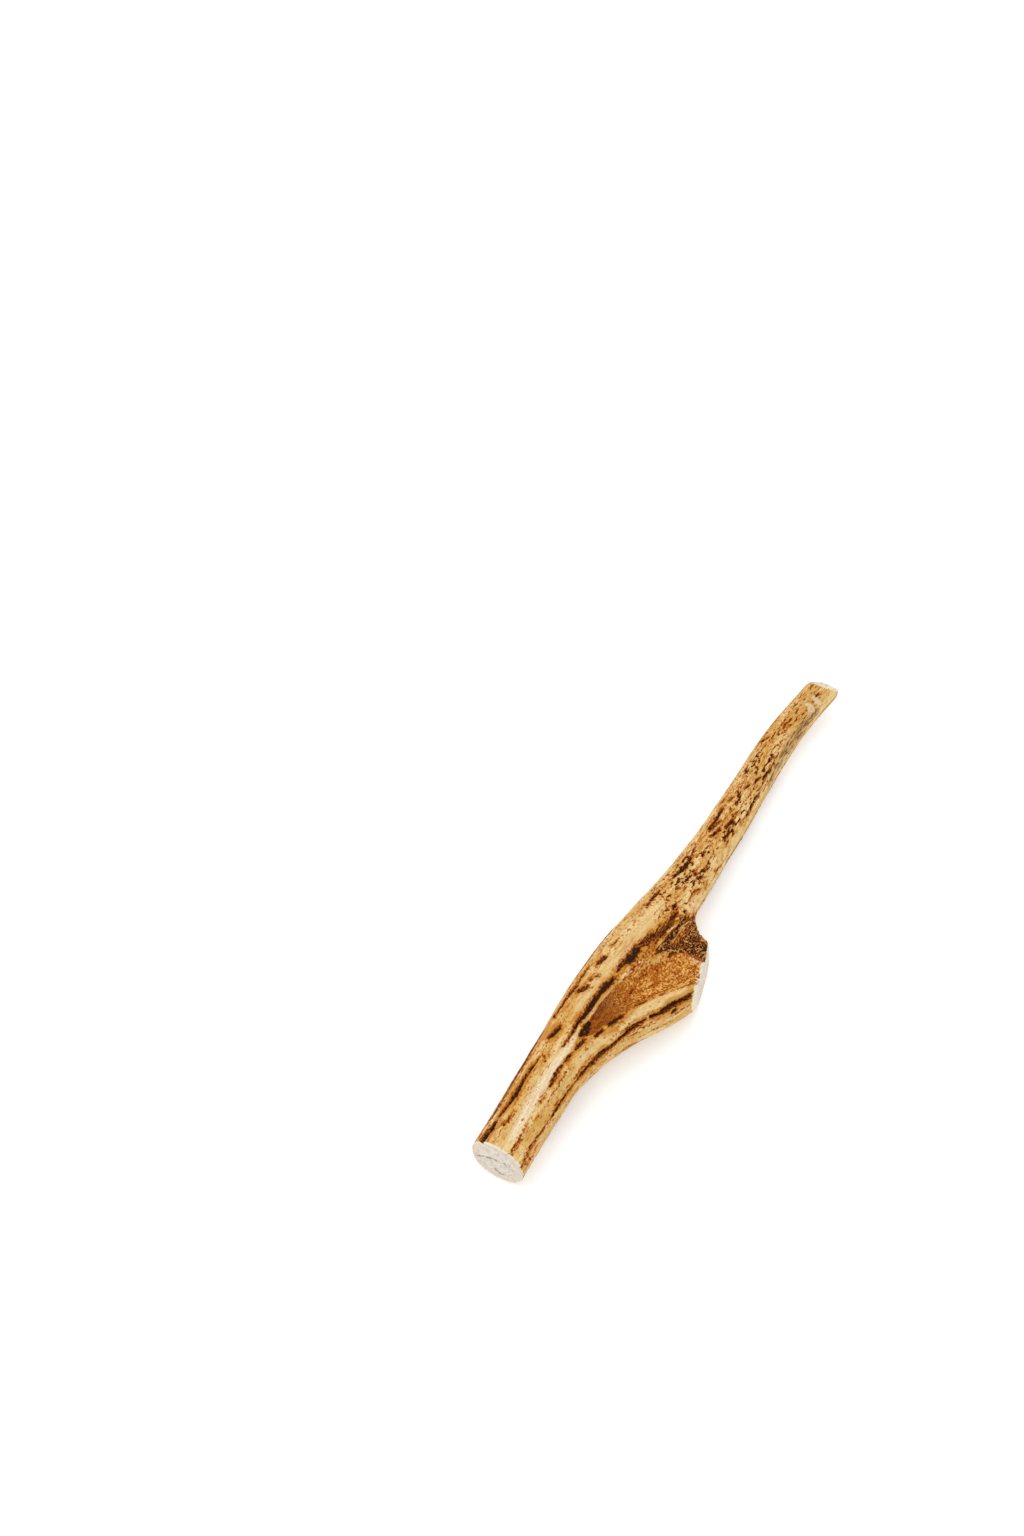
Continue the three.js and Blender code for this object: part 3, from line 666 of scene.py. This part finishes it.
seeded = add(relief, "ShaderNodeVectorMath", operation="ADD")
feed(relief, seeded.inputs[0], in_relief("beam_flow", "FLOAT_VECTOR"))
feed(relief, seeded.inputs[1], given["Seed"])
flows = (seeded.outputs[0], in_relief("branch_flow", "FLOAT_VECTOR"), in_relief("branch_share"))
level = stain_level(relief, flows, in_relief)
dug = ramp(relief, level, STAINED_RUST[0] - 0.03, STAINED_DARK[1] + 0.06)
groove_depth = sums(relief, "MULTIPLY_ADD", in_relief("groove"), given["Groove Depth"], given["Pit Depth"])
depth = sums(relief, "MULTIPLY_ADD", dug, groove_depth, given["Overall Depth"])
soft_groove = sums(relief, "MULTIPLY", in_relief("groove"), 0.35)
depth = sums(relief, "ADD", depth, soft_groove)
ripple = ramp(relief, grown_noise(relief, flows, *RIPPLES), 0.35, 0.65)
calm = sums(relief, "MULTIPLY_ADD", in_relief("polished"), -0.7, 1.0)
ripple = sums(relief, "MULTIPLY", ripple, calm)
depth = sums(relief, "MULTIPLY_ADD", ripple, given["Ripple Height"], depth)
granules = sums(relief, "MULTIPLY", grown_noise(relief, flows, *GRANULES), in_relief("hollow"))
depth = sums(relief, "MULTIPLY_ADD", granules, given["Granule Height"], depth)
depth = sums(relief, "MULTIPLY_ADD", in_relief("chipped"), given["Chip Depth"], depth)
depth = sums(relief, "MULTIPLY_ADD", in_relief("worn_edge"), given["Edge Wear"], depth)

inward = add(relief, "ShaderNodeVectorMath", operation="SCALE")
feed(relief, inward.inputs[0], add(relief, "GeometryNodeInputNormal").outputs["Normal"])
feed(relief, inward.inputs["Scale"], sums(relief, "MULTIPLY", depth, -MM))
moved = add(relief, "GeometryNodeSetPosition")
feed(relief, moved.inputs["Geometry"], given["Geometry"])
feed(relief, moved.inputs["Offset"], inward.outputs[0])
smooth = add(relief, "GeometryNodeSetShadeSmooth")
feed(relief, smooth.inputs["Geometry"], moved.outputs["Geometry"])
whole = add(relief, "GeometryNodeRealizeInstances")
feed(relief, whole.inputs["Geometry"], smooth.outputs["Geometry"])
barked = add(relief, "GeometryNodeSetMaterial")
feed(relief, barked.inputs["Geometry"], whole.outputs["Geometry"])
feed(relief, barked.inputs["Material"], given["Bark"])
feed(relief, add(relief, "NodeGroupOutput").inputs["Geometry"], barked.outputs["Geometry"])

bark = bpy.data.materials.new("antler bark")
modifier = antler_piece.modifiers.new("bark relief", "NODES")
modifier.node_group = relief
for item in relief.interface.items_tree:
    if item.in_out == "INPUT" and item.name in RELIEF_SIZES:
        modifier[item.identifier] = RELIEF_SIZES[item.name]
    if item.in_out == "INPUT" and item.name == "Bark":
        modifier[item.identifier] = bark
dug_mesh = bpy.data.meshes.new_from_object(antler_piece.evaluated_get(bpy.context.evaluated_depsgraph_get()))
antler_piece.modifiers.clear()
antler_piece.data = dug_mesh


# ---------------------------------------------------------------- the three saw cuts
# The beam, the tine and the branch are each sawn flat. A cut shows a hard pale rim and a spongy core,
# and is closed here with rings that shrink from the sawn edge to the middle.

CUT_RINGS = {"beam": 30, "tine": 18, "branch": 22}
CUT_REACH = 0.03  # how far around the middle of a cut the saw goes, metres
RIM_REACH = 0.04
ON_THE_CUT = 1e-6
RIM_WIDTH = 2.4  # of the hard bone around the spongy core, mm
SPONGE_DEPTH = 0.35
SPONGE_LUMPS = 900  # to a metre
SAW_MARK_DEPTH = 0.08
SAW_MARKS = 9000  # radians to a metre of height
# Cracks across the sawn face of the beam: points as y and z, and half width.
CRACKS = [
    [(7.6, 6.8, 0.2), (4.0, 9.0, 0.25), (0.8, 9.9, 0.35), (-2.0, 10.2, 0.3), (-3.4, 8.6, 0.2)],
    [(1.6, 4.3, 0.2), (0.6, 3.9, 0.4), (-0.6, 3.5, 0.35), (-2.0, 3.4, 0.2)],
]

sawn_bone = bpy.data.materials.new("sawn bone")
antler_piece.data.materials.append(sawn_bone)
shape = bmesh.new()
shape.from_mesh(antler_piece.data)
core_layer = shape.verts.layers.float.new("core")
depth_layer = shape.verts.layers.float.new("sponge")
middle_layer = shape.verts.layers.float.new("from_middle")
crack_layer = shape.verts.layers.float.new("cracked")


def edge_loop(edges):
    """The corners of a closed chain of edges, in order."""
    left = set(edges[1:])
    first, last = edges[0].verts
    chain = [first, last]
    while left:
        step = next((e for e in last.link_edges if e in left), None)
        if step is None:
            break
        left.remove(step)
        last = step.other_vert(last)
        if last is first:
            break
        chain.append(last)
    return chain


def sponge(spot):
    """0 to 1: how far the spongy bone is sunk at a spot of a sawn face."""
    lumps = mathutils.noise.fractal(spot * SPONGE_LUMPS, 0.9, 2.1, 3)
    return float(fade(lumps, -0.25, 0.45))


def cracked(spot):
    """0 to 1: how near a spot of the beam's sawn face is to a crack."""
    _, y_here, z_here = np.array(spot) / MM + BOX_MIDDLE
    nearest = 9.0
    for path in CRACKS:
        for (y_a, z_a, half_a), (y_b, z_b, half_b) in zip(path, path[1:]):
            run = np.array([y_b - y_a, z_b - z_a])
            share = np.clip(np.dot([y_here - y_a, z_here - z_a], run) / np.dot(run, run), 0, 1)
            away = np.hypot(y_here - y_a - share * run[0], z_here - z_a - share * run[1])
            nearest = min(nearest, away / (half_a + share * (half_b - half_a)))
    return float(fade(nearest, 1.6, 0.5))


for cut_name, (at, faces) in CUTS.items():
    on_plane = Vector((np.array(at) - BOX_MIDDLE) * MM)
    outward = Vector(faces).normalized()
    if cut_name == "branch":
        limit = (BRANCH_ENDS_AT - BOX_MIDDLE[0]) * MM
        part = [v for v in shape.verts if v.co.x < limit and v.co.y < 0.0]
    else:
        part = [v for v in shape.verts if (v.co - on_plane).length < CUT_REACH]
    chosen = set(part)
    near_edges = [e for e in shape.edges if e.verts[0] in chosen or e.verts[1] in chosen]
    near_faces = {f for e in near_edges for f in e.link_faces}
    bmesh.ops.bisect_plane(
        shape,
        geom=part + near_edges + list(near_faces),
        dist=1e-7,
        plane_co=on_plane,
        plane_no=outward,
        clear_outer=True,
    )
    open_edges = [e for e in shape.edges if e.is_boundary]
    open_edges = [e for e in open_edges if abs((e.verts[0].co - on_plane).dot(outward)) < ON_THE_CUT]
    open_edges = [e for e in open_edges if (e.verts[0].co - on_plane).length < RIM_REACH]
    rim = edge_loop(open_edges)
    middle = sum((v.co for v in rim), Vector()) / len(rim)
    ring_total = CUT_RINGS[cut_name]
    outer = rim
    for ring in range(1, ring_total + 1):
        share = 1 - ring / ring_total
        inner = []
        for edge_point in rim if share > 0 else rim[:1]:
            flat = middle + (edge_point.co - middle) * share
            from_rim = (edge_point.co - flat).length / MM
            core = float(fade(from_rim, RIM_WIDTH * 0.7, RIM_WIDTH * 1.3)) if share > 0 else 1.0
            sunk = sponge(flat)
            stroke = 0.5 + 0.5 * math.sin(flat.z * SAW_MARKS + 3 * sunk)
            ridged = SAW_MARK_DEPTH * min(from_rim, 1.0) * stroke
            spot = shape.verts.new(flat - outward * (core * sunk * SPONGE_DEPTH + ridged) * MM)
            spot[core_layer] = core
            spot[depth_layer] = sunk
            spot[middle_layer] = (flat - middle).length / MM
            spot[crack_layer] = cracked(flat) if cut_name == "beam" else 0.0
            inner.append(spot)
        for i in range(len(rim)):
            j = (i + 1) % len(rim)
            corners = [outer[i], outer[j], inner[0]]
            if share > 0:
                corners = [outer[i], outer[j], inner[j], inner[i]]
            face = shape.faces.new(corners)
            face.material_index = 1
            face.smooth = True
        outer = inner
for edge in shape.edges:
    if len({f.material_index for f in edge.link_faces}) > 1:
        edge.smooth = False

bmesh.ops.recalc_face_normals(shape, faces=shape.faces)
shape.to_mesh(antler_piece.data)
shape.free()


# ---------------------------------------------------------------- finish of the bark
# Cream bone, worn and polished by handling. Old stain turns it orange, then rust, then nearly black
# in the grooves and pits; the hollow is grainy and orange throughout.


def colour(red, green, blue):
    """A colour given in 0 to 255, as the renderer wants it."""
    shares = (red / 255, green / 255, blue / 255)
    return tuple(c / 12.92 if c <= 0.04045 else ((c + 0.055) / 1.055) ** 2.4 for c in shares) + (1.0,)


CREAM = colour(228, 204, 152)
TAN = colour(212, 176, 108)
DEEP_TAN = colour(188, 150, 92)
HONEY = colour(204, 154, 74)
AMBER = colour(190, 126, 34)
ORANGE = colour(168, 90, 6)
RUST = colour(112, 52, 6)
DARK = colour(50, 28, 12)
PIT_DARK = colour(60, 24, 6)
SCAR_BROWN = colour(62, 28, 12)
SCAR_PALE = colour(214, 148, 76)
PALE_AND_SHEEN = colour(222, 198, 146)
BLEACH_AND_SHEEN = colour(232, 220, 200)
GRAIN_SHADE = (0.82, 0.68, 0.44, 1.0)
GREY = colour(98, 56, 24)
CHIP_WHITE = colour(214, 196, 162)
BARED = colour(226, 215, 194)
BARED_GREY = colour(176, 152, 120)
HOLLOW_LIGHT = colour(228, 180, 104)
HOLLOW_MIDDLE = colour(186, 112, 24)
HOLLOW_DEEP = colour(112, 50, 4)

CLOUDS = ((20.0, 5.0), 3.0, 0.55, 37.0)
PATCHES = ((2.6, 1.4), 3.0, 0.6, 61.0)
STREAKS = ((7.0, 0.9), 4.0, 0.6, 31.0)
HONEY_CLOUDS = ((12.0, 4.0), 3.0, 0.55, 67.0)
SCABS = ((0.8, 0.7), 3.0, 0.6, 45.0)
COARSE_GRAIN = ((0.8, 0.5), 3.0, 0.6, 51.0)
FINE_GRAIN = ((0.35, 0.28), 2.0, 0.6, 57.0)


def on_skin(name, kind="Fac"):
    """One of the skin's attributes, for its material."""
    return add(surface, "ShaderNodeAttribute", attribute_name=name).outputs[kind]


def blend(tree, share, a, b, **settings):
    """Colour a where the share is 0, and b where it is 1."""
    node = add(tree, "ShaderNodeMix", data_type="RGBA", **settings)
    for socket, value in zip((node.inputs[0], node.inputs[6], node.inputs[7]), (share, a, b)):
        feed(tree, socket, value)
    return node.outputs[2]


# Fine grain of the bone: a mottle to multiply colours by, and a height.
bone_grain = bpy.data.node_groups.new("bone grain", "ShaderNodeTree")
bone_grain.interface.new_socket(name="Vector", in_out="INPUT", socket_type="NodeSocketVector")
for name in ("Light", "Dark"):
    bone_grain.interface.new_socket(name=name, in_out="INPUT", socket_type="NodeSocketFloat")
for name in ("Mottle", "Height"):
    bone_grain.interface.new_socket(name=name, in_out="OUTPUT", socket_type="NodeSocketFloat")
grain_in = add(bone_grain, "NodeGroupInput").outputs
coarse = sums(bone_grain, "MULTIPLY", noise(bone_grain, grain_in["Vector"], *COARSE_GRAIN), 0.6)
fine = sums(bone_grain, "MULTIPLY", noise(bone_grain, grain_in["Vector"], *FINE_GRAIN), 0.4)
grain_height = sums(bone_grain, "ADD", coarse, fine)
mottle = ramp(bone_grain, grain_height, 0.38, 0.62, grain_in["Light"], grain_in["Dark"])
grain_out = add(bone_grain, "NodeGroupOutput").inputs
feed(bone_grain, grain_out["Mottle"], mottle)
feed(bone_grain, grain_out["Height"], grain_height)


def grain_of(tree, vector, light, dark):
    """The bone's fine grain, for one material: its mottle and its height."""
    node = add(tree, "ShaderNodeGroup", node_tree=bone_grain)
    feed(tree, node.inputs["Vector"], vector)
    feed(tree, node.inputs["Light"], light)
    feed(tree, node.inputs["Dark"], dark)
    return node.outputs["Mottle"], node.outputs["Height"]


bark.use_nodes = True
surface = bark.node_tree
shader = surface.nodes["Principled BSDF"]
flows = (on_skin("beam_flow", "Vector"), on_skin("branch_flow", "Vector"), on_skin("branch_share"))
level = stain_level(surface, flows, on_skin)
clouds = grown_noise(surface, flows, *CLOUDS)
patches = grown_noise(surface, flows, *PATCHES)
streaks = grown_noise(surface, flows, *STREAKS)
granules = grown_noise(surface, flows, *GRANULES)
mottle, grain_height = grain_of(surface, flows[0], 0.0, 0.75)

look = blend(surface, ramp(surface, clouds, 0.42, 0.6), CREAM, TAN)
look = blend(surface, ramp(surface, streaks, 0.46, 0.62, 0.0, 0.6), look, TAN)
look = blend(surface, ramp(surface, patches, 0.5, 0.64, 0.0, 0.75), look, DEEP_TAN)
honey = ramp(surface, grown_noise(surface, flows, *HONEY_CLOUDS), 0.46, 0.64, 0.0, 0.7)
honey = sums(surface, "MULTIPLY", honey, ramp(surface, on_skin("fair"), 0.0, 1.0, 1.0, 0.1))
look = blend(surface, honey, look, HONEY)
blotches = sums(surface, "SUBTRACT", patches, 0.5)
tinged = sums(surface, "MULTIPLY_ADD", blotches, 2.2, on_skin("tinge"))
look = blend(surface, ramp(surface, tinged, 0.25, 0.9, 0.0, 0.8), look, AMBER)
pit_glow = ramp(surface, grown_noise(surface, flows, *PITS), 0.45, 0.58, 0.0, 0.65)
look = blend(surface, sums(surface, "MULTIPLY", pit_glow, on_skin("pitted")), look, AMBER)
# Paler colour on the polished ridges: partly worn bone, partly painted sheen.
worn_and_sheen = sums(surface, "MULTIPLY", on_skin("polished"), ramp(surface, streaks, 0.62, 0.4, 0.2, 0.85))
look = blend(surface, worn_and_sheen, look, PALE_AND_SHEEN)

lumps = sums(surface, "MULTIPLY_ADD", blotches, 0.6, granules)
hollow_look = blend(surface, ramp(surface, lumps, 0.47, 0.59), HOLLOW_MIDDLE, HOLLOW_LIGHT)
between_lumps = ramp(surface, lumps, 0.48, 0.34, 0.0, 0.9)
deep = sums(surface, "MULTIPLY_ADD", on_skin("hollow_depths"), 0.95, between_lumps)
hollow_look = blend(surface, deep, hollow_look, HOLLOW_DEEP)
ragged_hollow = sums(surface, "MULTIPLY_ADD", blotches, 0.8, on_skin("hollow"))
look = blend(surface, ramp(surface, ragged_hollow, 0.35, 0.6), look, hollow_look)
# Whitish streak: bleached bone, and on the beam's top ridge also painted sheen.
bleach_and_sheen = sums(surface, "MULTIPLY", on_skin("bleach_and_sheen"), ramp(surface, streaks, 0.62, 0.42, 0.45, 0.85))
look = blend(surface, bleach_and_sheen, look, BLEACH_AND_SHEEN)
look = blend(surface, mottle, look, GRAIN_SHADE, blend_type="MULTIPLY")

look = blend(surface, ramp(surface, level, *STAINED_ORANGE), look, ORANGE)
look = blend(surface, ramp(surface, level, *STAINED_RUST), look, RUST)
scabs = ramp(surface, grown_noise(surface, flows, *SCABS), 0.5, 0.6)
scar = blend(surface, scabs, SCAR_BROWN, SCAR_PALE)
darkest = blend(surface, on_skin("pitted"), DARK, PIT_DARK)
darkest = blend(surface, on_skin("crotch"), darkest, scar)
look = blend(surface, ramp(surface, level, *STAINED_DARK), look, darkest)
rubbed = sums(surface, "MULTIPLY", on_skin("rubbed"), ramp(surface, patches, 0.42, 0.58, 0.3, 0.85))
look = blend(surface, rubbed, look, GREY)
chips = sums(surface, "MULTIPLY", on_skin("chipped"), ramp(surface, patches, 0.36, 0.6, 0.7, 1.4))
look = blend(surface, ramp(surface, chips, 0.2, 0.9, 0.0, 0.75), look, CHIP_WHITE)
bare_bone = blend(surface, ramp(surface, streaks, 0.5, 0.68, 0.0, 0.5), BARED, BARED_GREY)
bare = sums(surface, "MULTIPLY", on_skin("bared"), ramp(surface, patches, 0.36, 0.6, 0.5, 1.5))
look = blend(surface, ramp(surface, bare, 0.25, 0.7), look, bare_bone)
feed(surface, shader.inputs["Base Color"], look)

dirt = ramp(surface, level, STAINED_ORANGE[1], STAINED_DARK[1])
roughness = ramp(surface, on_skin("polished"), 0.0, 1.0, 0.5, 0.34)
feed(surface, shader.inputs["Roughness"], sums(surface, "MULTIPLY_ADD", dirt, 0.3, roughness))
shader.inputs["Specular IOR Level"].default_value = 0.08
feed(surface, shader.inputs["Coat Weight"], sums(surface, "MULTIPLY", on_skin("polished"), 0.25))
shader.inputs["Coat Roughness"].default_value = 0.3

height = sums(surface, "MULTIPLY", streaks, 0.5)
height = sums(surface, "MULTIPLY_ADD", grain_height, 0.5, height)
height = sums(surface, "MULTIPLY_ADD", dirt, -0.8, height)
bump = add(surface, "ShaderNodeBump")
bump.inputs["Distance"].default_value = 0.25 * MM
bump.inputs["Strength"].default_value = 0.7
feed(surface, bump.inputs["Height"], height)
feed(surface, shader.inputs["Normal"], bump.outputs["Normal"])


# ---------------------------------------------------------------- finish of the sawn faces
# Fresh bone, off-white and a little chalky, with a hard rim and a greyer spongy core that is cracked
# along its growth rings.

BONE = colour(220, 204, 184)
CORE = colour(229, 218, 205)
PORE = colour(182, 168, 150)
CRACK = colour(148, 130, 116)

WANDER = ((5.0, 5.0), 3.0, 0.5, 9.0)
BREAKS = ((3.6, 3.6), 2.0, 0.5, 21.0)
SMEARS = ((1.5, 1.5), 4.0, 0.65, 33.0)

sawn_bone.use_nodes = True
surface = sawn_bone.node_tree
shader = surface.nodes["Principled BSDF"]
in_mm = add(surface, "ShaderNodeVectorMath", operation="SCALE")
feed(surface, in_mm.inputs[0], add(surface, "ShaderNodeTexCoord").outputs["Object"])
in_mm.inputs["Scale"].default_value = 1 / MM
spot = in_mm.outputs[0]
core = on_skin("core")
mottle, grain_height = grain_of(surface, spot, 1.0, 0.9)
turns = sums(surface, "MULTIPLY", on_skin("from_middle"), 0.5)
turns = sums(surface, "MULTIPLY_ADD", noise(surface, spot, *WANDER), 2.6, turns)
ringed = sums(surface, "ABSOLUTE", sums(surface, "SUBTRACT", sums(surface, "FRACT", turns), 0.5))
broken = noise(surface, spot, *BREAKS)
crack = sums(surface, "MULTIPLY", ramp(surface, ringed, 0.05, 0.0), ramp(surface, broken, 0.56, 0.64))
crack = sums(surface, "MULTIPLY", crack, core)
pores = ramp(surface, broken, 0.45, 0.62, 0.05, 0.6)
pores = sums(surface, "MULTIPLY", ramp(surface, ringed, 0.26, 0.05), pores)
pores = sums(surface, "MULTIPLY", pores, sums(surface, "MULTIPLY_ADD", on_skin("sponge"), 0.7, 0.3))
look = blend(surface, core, BONE, CORE)
look = blend(surface, 1.0, look, mottle, blend_type="MULTIPLY")
look = blend(surface, sums(surface, "MULTIPLY", pores, 0.8), look, PORE)
smears = ramp(surface, noise(surface, spot, *SMEARS), 0.5, 0.68, 0.0, 0.65)
look = blend(surface, smears, look, PORE)
look = blend(surface, sums(surface, "MULTIPLY", crack, 0.6), look, CRACK)
split = sums(surface, "MULTIPLY", on_skin("cracked"), ramp(surface, broken, 0.36, 0.52, 0.35, 1.0))
look = blend(surface, split, look, CRACK)
feed(surface, shader.inputs["Base Color"], look)
feed(surface, shader.inputs["Roughness"], ramp(surface, core, 0.0, 1.0, 0.62, 0.85))
shader.inputs["Specular IOR Level"].default_value = 0.25
bump = add(surface, "ShaderNodeBump")
bump.inputs["Distance"].default_value = 0.3 * MM
bump.inputs["Strength"].default_value = 0.8
feed(surface, bump.inputs["Height"], sums(surface, "MULTIPLY_ADD", crack, -1.0, grain_height))
feed(surface, shader.inputs["Normal"], bump.outputs["Normal"])

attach(antler_piece, "root")
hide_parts("beam", "tine", "branch_stump")


# ---------------------------------------------------------------- the pale surface, the light and the camera
# The piece lies on a sheet of white paper that glows a little, as over a light table. A large soft
# light stands on the beam's far side, a small one off the tine's end, and a long lens looks down.

FLOOR_HALF = 4.0
floor_mesh = bpy.data.meshes.new("floor")
sides = ((-1, -1), (1, -1), (1, 1), (-1, 1))
corners = [(x_side * FLOOR_HALF, y_side * FLOOR_HALF, 0) for x_side, y_side in sides]
floor_mesh.from_pydata(corners, [], [(0, 1, 2, 3)])
floor = bpy.data.objects.new("floor", floor_mesh)
bpy.context.scene.collection.objects.link(floor)
paper = bpy.data.materials.new("white paper")
paper.use_nodes = True
shader = paper.node_tree.nodes["Principled BSDF"]
shader.inputs["Base Color"].default_value = (0.84, 0.88, 0.9, 1)
shader.inputs["Roughness"].default_value = 0.9
shader.inputs["Specular IOR Level"].default_value = 0.1
shader.inputs["Emission Color"].default_value = (1, 1, 1, 1)
shader.inputs["Emission Strength"].default_value = 0.26
floor_mesh.materials.append(paper)

SKY_STRENGTH = 1.06
sky = bpy.data.worlds.new("soft room")
sky.use_nodes = True
sky.node_tree.nodes["Background"].inputs["Color"].default_value = (1.0, 1.0, 1.0, 1)
sky.node_tree.nodes["Background"].inputs["Strength"].default_value = SKY_STRENGTH
bpy.context.scene.world = sky


def soft_light(name, place, size, power, tint=(1, 1, 1)):
    """A square lamp that faces the middle of the floor."""
    lamp = bpy.data.lights.new(name, "AREA")
    lamp.shape = "SQUARE"
    lamp.size = size
    lamp.energy = power
    lamp.color = tint
    light = bpy.data.objects.new(name, lamp)
    light.location = place
    light.rotation_euler = (-Vector(place)).to_track_quat("-Z", "Y").to_euler()
    bpy.context.scene.collection.objects.link(light)


soft_light("key", (-0.15, 0.85, 1.1), 1.3, 3.2, (1.0, 0.99, 0.97))
soft_light("gloss", (0.65, 0.1, 1.1), 0.5, 1.2)

bpy.context.scene.view_settings.view_transform = "Standard"

EYE = Vector((np.array([-487.07, -231.87, 798.64]) - BOX_MIDDLE) * MM)
LOOKS_AT = Vector((np.array([30.0, 76.06, -0.06]) - BOX_MIDDLE) * MM)
lens = bpy.data.cameras.new("camera")
lens.sensor_fit = "VERTICAL"
lens.sensor_height = 36
lens.lens = 70
lens.clip_start = 0.05
lens.clip_end = 20
camera = bpy.data.objects.new("camera", lens)
camera.location = EYE
camera.rotation_euler = (LOOKS_AT - EYE).to_track_quat("-Z", "Y").to_euler()
bpy.context.scene.collection.objects.link(camera)
bpy.context.scene.camera = camera
